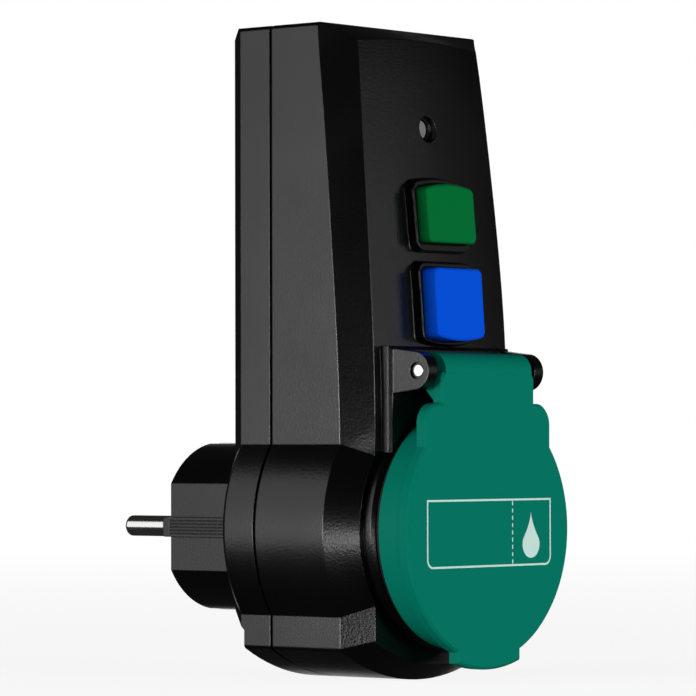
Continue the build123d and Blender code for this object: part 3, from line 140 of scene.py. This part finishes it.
BLACK = (0.001, 0.0011, 0.0012)
materials = {
    "panel_plastic": plastic("panel plastic", BLACK, 0.24, 0.7, 1900, 0.3),
    "shell_plastic": plastic("shell plastic", BLACK, 0.24, 0.7, 1900, 0.3),
    "seal_rubber": plastic("seal rubber", (0.003, 0.003, 0.0035), 0.7, 0.3, 3000, 0.1, 0.3),
    "screw_steel": metal("zinc screws", (0.55, 0.55, 0.56)),
    "pin_nickel": metal("nickel pins", (0.8, 0.79, 0.76), 0.16, 0.08),
    "contact_steel": metal("contact steel", (0.6, 0.6, 0.6)),
    "contact_brass": metal("contact brass", (0.72, 0.55, 0.25)),
    "spring_steel": metal("spring wire", (0.5, 0.5, 0.52), scales=(900, 900, 900)),
    "insert_plastic": plastic("socket insert plastic", (0.009, 0.009, 0.01), 0.45, 0.2),
    "shutter_plastic": plastic("shutter plastic", (0.6, 0.58, 0.52), 0.45, 0.1),
    "lid_plastic": plastic("lid plastic", (0.001, 0.19, 0.13), 0.5, 0.35, 2000, 0.35, 0.02),
    "green_plastic": plastic("green button", (0.001, 0.17, 0.036), 0.5, 0.3, 2600, 0.35, 0.02),
    "blue_plastic": plastic("blue button", (0.001, 0.09, 0.78), 0.5, 0.3, 2600, 0.35, 0.02),
    "lens_plastic": plastic("lens", (0.2, 0.21, 0.21), 0.15, 0.0, 3000, 0.1),
    "lamp_epoxy": plastic("lamp", (0.5, 0.04, 0.02), 0.15, 0.0, 3000, 0.1),
    "board": plastic("circuit board", (0.02, 0.16, 0.02), 0.4, 0.05, 3000, 0.05),
    "ferrite": plastic("ferrite", (0.03, 0.03, 0.032), 0.6, 0.3),
    "copper": metal("copper wire", (0.6, 0.25, 0.1), 0.3, 0.5, (900, 900, 4000)),
    "varistor_ceramic": plastic("varistor", (0.01, 0.05, 0.3), 0.3, 0.1, 3000, 0.5),
    "capacitor_film": plastic("capacitor", (0.6, 0.4, 0.03), 0.3, 0.05, 3000, 0.4),
    "component_black": plastic("component", (0.012, 0.012, 0.012), 0.4, 0.1, 3000, 0.1),
    "resistor_ceramic": plastic("resistor", (0.35, 0.3, 0.2), 0.7, 0.3),
    "lead_blue": plastic("blue lead", (0.01, 0.05, 0.35), 0.4, 0.05, 3000, 0.05),
    "lead_brown": plastic("brown lead", (0.1, 0.03, 0.012), 0.4, 0.05, 3000, 0.05),
}
sign_print = plastic("sign print", (0.62, 0.85, 0.78), 0.5, 0.1, 3000, 0.02)


def paint(obj, mat):
    obj.data.materials.clear()
    obj.data.materials.append(mat)


for name, obj in frame["nodes"].items():
    paint(obj, materials[slot_of[name]])


# Springs, which shorten as their joints are pressed; here each only gets its own copy of its mesh


def shorten(deforming):
    """Gives a spring its own copy of its mesh; it does not press the spring."""
    piece = frame["nodes"][deforming["node"]]
    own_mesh(piece)


for joint in record["behaviour"]["joints"]:
    for deforming in joint.get("deforming_nodes", []):
        shorten(deforming)


# The sign on the lid

LID_FACE = -79.3
SIGN_RISE = 0.03
SIGN_LINE = 0.42
SIGN_LEFT, SIGN_RIGHT, SIGN_FOOT, SIGN_TOP = -21.5, 21.65, -7.9, 6.5
SIGN_CORNER = 1.8
DIVIDER_X = 8.1
DIVIDER_LINE = 0.32
DASHES = 9
DASH_SHARE = 0.56
DROP_X, DROP_Z, DROP_TOP, DROP_RADIUS = 14.7, -3.4, 3.8, 3.05
DROP_STEPS = 8
DROP_FOOT_STEPS = 36
DROP_HOLLOW = 1.6


def arc(x, z, radius, start, end, steps=12):
    """Points on an arc, with its angles in degrees."""
    angles = [math.radians(start + (end - start) * step / steps) for step in range(steps + 1)]
    return [(x + radius * math.cos(angle), z + radius * math.sin(angle)) for angle in angles]


def printed(name, rings):
    """A flat print on the lid's face from closed rings in millimetres. A ring inside another is a hole."""
    curve = bpy.data.curves.new(name + "_outline", "CURVE")
    curve.dimensions = "2D"
    curve.fill_mode = "FRONT"
    for ring in rings:
        spline = curve.splines.new("POLY")
        spline.points.add(len(ring) - 1)
        for point, (x, z) in zip(spline.points, ring):
            point.co = (x * MM, z * MM, 0, 1)
        spline.use_cyclic_u = True
    outline = bpy.data.objects.new(name + "_outline", curve)
    scene.collection.objects.link(outline)
    mesh = bpy.data.meshes.new_from_object(outline.evaluated_get(bpy.context.evaluated_depsgraph_get()))
    bpy.data.objects.remove(outline)
    mesh.transform(Matrix.Translation((0, (LID_FACE - SIGN_RISE) * MM, 0)) @ Matrix.Rotation(math.pi / 2, 4, "X"))
    obj = bpy.data.objects.new(name, mesh)
    scene.collection.objects.link(obj)
    paint(obj, sign_print)
    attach(obj, "lid")


def sign_ring(grow):
    """The sign's outline: sharp corners above and round ones below."""
    left, right, foot, top = SIGN_LEFT - grow, SIGN_RIGHT + grow, SIGN_FOOT - grow, SIGN_TOP + grow
    radius = SIGN_CORNER + grow
    return ([(left, top), (right, top)] + arc(right - radius, foot + radius, radius, 0, -90)
            + arc(left + radius, foot + radius, radius, -90, -180))


def divider_dashes():
    """The dashed line between the sign's two fields."""
    pitch = (SIGN_TOP - SIGN_FOOT) / DASHES
    near, far = DIVIDER_X - DIVIDER_LINE / 2, DIVIDER_X + DIVIDER_LINE / 2
    rings = []
    for number in range(DASHES):
        foot = SIGN_FOOT + pitch * (number + (1 - DASH_SHARE) / 2)
        top = foot + pitch * DASH_SHARE
        rings.append([(near, foot), (far, foot), (far, top), (near, top)])
    return rings


def drop_ring():
    """A drop: a round foot whose sides run in a hollow curve to the point."""
    lift = math.degrees(math.asin(DROP_RADIUS / (DROP_TOP - DROP_Z)))
    foot = arc(DROP_X, DROP_Z, DROP_RADIUS, lift, -180 - lift, DROP_FOOT_STEPS)
    half, shoulder = foot[0][0] - DROP_X, foot[0][1]
    left = []
    for step in range(1, DROP_STEPS):
        share = step / DROP_STEPS
        left.append((-half * (1 - share) ** DROP_HOLLOW, shoulder + (DROP_TOP - shoulder) * share))
    side = [(DROP_X + x, z) for x, z in left]
    other = [(DROP_X - x, z) for x, z in reversed(left)]
    return foot + side + [(DROP_X, DROP_TOP)] + other


printed("sign_frame", [sign_ring(SIGN_LINE / 2), sign_ring(-SIGN_LINE / 2)])
printed("sign_divider", divider_dashes())
printed("sign_drop", [drop_ring()])


# Camera, fitted to the photograph

AZIMUTH = math.radians(49.801)
PITCH = math.radians(1.274)
ROLL = math.radians(-0.111)
DISTANCE = 946.707
SIDE_STEP = -0.773
AIM = Vector((0, -39.9, 19.279))
SENSOR_WIDTH = 36.0
FOCAL_LENGTH = 218.03
CLIP_NEAR, CLIP_FAR = 0.05, 20.0

ahead = Vector((math.sin(AZIMUTH), math.cos(AZIMUTH), 0))
right = Vector((math.cos(AZIMUTH), -math.sin(AZIMUTH), 0))
up = Vector((0, 0, 1))
place = (AIM - ahead * DISTANCE + right * SIDE_STEP) * MM
look = ahead * math.cos(PITCH) + up * math.sin(PITCH)
tilted = up * math.cos(PITCH) - ahead * math.sin(PITCH)
camera_x = right * math.cos(ROLL) + tilted * math.sin(ROLL)
camera_y = tilted * math.cos(ROLL) - right * math.sin(ROLL)

lens = bpy.data.cameras.new("camera")
lens.sensor_width = SENSOR_WIDTH
lens.lens = FOCAL_LENGTH
lens.clip_start = CLIP_NEAR
lens.clip_end = CLIP_FAR
camera = bpy.data.objects.new("camera", lens)
scene.collection.objects.link(camera)
turn = Matrix((camera_x, camera_y, -look)).transposed().to_4x4()
camera.matrix_world = Matrix.Translation(place) @ turn
scene.camera = camera


# Floor, lamps and world

FLOOR_HALF = 6.0
FLOOR_GLOW = 0.88
GLOW_NEAR, GLOW_FAR = 0.15, 1.2
FLOOR_COLOR = (0.3, 0.3, 0.3)


def pale_floor():
    """A floor that the camera sees pale, with the object's shadow on it, and that takes no light from the lamps."""
    mesh = bpy.data.meshes.new("floor")
    sides = ((-1, -1), (1, -1), (1, 1), (-1, 1))
    corners = [(x * FLOOR_HALF, y * FLOOR_HALF, size_before[0][2]) for x, y in sides]
    mesh.from_pydata(corners, [], [(0, 1, 2, 3)])
    floor = bpy.data.objects.new("floor", mesh)
    scene.collection.objects.link(floor)
    mat, tree, shader = new_material("pale floor", FLOOR_COLOR)
    shader.inputs["Roughness"].default_value = 1.0
    shader.inputs["Specular IOR Level"].default_value = 0.0
    shader.inputs["Emission Color"].default_value = (1, 1, 1, 1)
    coordinates = tree.nodes.new("ShaderNodeTexCoord")
    distance = tree.nodes.new("ShaderNodeVectorMath")
    distance.operation = "LENGTH"
    glow = tree.nodes.new("ShaderNodeMapRange")
    glow.inputs["From Min"].default_value = GLOW_NEAR
    glow.inputs["From Max"].default_value = GLOW_FAR
    glow.inputs["To Min"].default_value = FLOOR_GLOW
    tree.links.new(coordinates.outputs["Object"], distance.inputs[0])
    tree.links.new(distance.outputs["Value"], glow.inputs["Value"])
    tree.links.new(glow.outputs["Result"], shader.inputs["Emission Strength"])
    paint(floor, mat)
    floor.visible_glossy = False
    floor.visible_diffuse = False
    floor.visible_shadow = False
    floor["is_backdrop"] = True


pale_floor()

MIDDLE = Vector((0, -0.04, 0.03))


def lamp(name, place, width, height, energy):
    """A soft rectangular lamp that faces the object from a place about its middle."""
    data = bpy.data.lights.new(name, "AREA")
    data.shape = "RECTANGLE"
    data.size = width
    data.size_y = height
    data.energy = energy
    obj = bpy.data.objects.new(name, data)
    scene.collection.objects.link(obj)
    obj.location = MIDDLE + Vector(place)
    obj.rotation_mode = "QUATERNION"
    obj.rotation_quaternion = (-Vector(place)).to_track_quat("-Z", "Y")


lamp("side softbox", (-0.69, 0.58, 0.14), 0.55, 0.7, 1.3)
lamp("side key", (-0.87, 0.26, -0.03), 0.3, 0.2, 5.0)
lamp("front key", (0.05, -0.9, -0.02), 0.3, 0.3, 5.4)
lamp("panel glow", (0.56, -0.74, 0.06), 0.38, 0.45, 0.36)
lamp("low glow", (-0.46, -0.39, -0.1), 0.2, 0.06, 0.45)

AMBIENT = 0.04
STUDIO_DARK = 0.02
BACKDROP_EDGE, BACKDROP_FULL = 0.94, 1.0


def backdrop_world():
    """A world that is white behind the object, dark in reflections from elsewhere, and dim as a light."""
    world = bpy.data.worlds.new("world")
    scene.world = world
    world.use_nodes = True
    tree = world.node_tree
    path = tree.nodes.new("ShaderNodeLightPath")
    direction = tree.nodes.new("ShaderNodeTexCoord")
    facing = tree.nodes.new("ShaderNodeVectorMath")
    facing.operation = "DOT_PRODUCT"
    facing.inputs[1].default_value = ahead
    backdrop = tree.nodes.new("ShaderNodeMapRange")
    backdrop.inputs["From Min"].default_value = BACKDROP_EDGE
    backdrop.inputs["From Max"].default_value = BACKDROP_FULL
    backdrop.inputs["To Min"].default_value = STUDIO_DARK
    tree.links.new(direction.outputs["Generated"], facing.inputs[0])
    tree.links.new(facing.outputs["Value"], backdrop.inputs["Value"])
    reflected = tree.nodes.new("ShaderNodeMix")
    reflected.inputs["A"].default_value = AMBIENT
    tree.links.new(path.outputs["Is Glossy Ray"], reflected.inputs["Factor"])
    tree.links.new(backdrop.outputs["Result"], reflected.inputs["B"])
    seen = tree.nodes.new("ShaderNodeMath")
    seen.operation = "MAXIMUM"
    tree.links.new(path.outputs["Is Camera Ray"], seen.inputs[0])
    tree.links.new(path.outputs["Is Transmission Ray"], seen.inputs[1])
    level = tree.nodes.new("ShaderNodeMath")
    level.operation = "MAXIMUM"
    tree.links.new(reflected.outputs["Result"], level.inputs[0])
    tree.links.new(seen.outputs["Value"], level.inputs[1])
    background = tree.nodes["Background"]
    background.inputs["Color"].default_value = (1, 1, 1, 1)
    tree.links.new(level.outputs["Value"], background.inputs["Strength"])


backdrop_world()

scene.view_settings.view_transform = "Standard"

low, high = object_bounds()
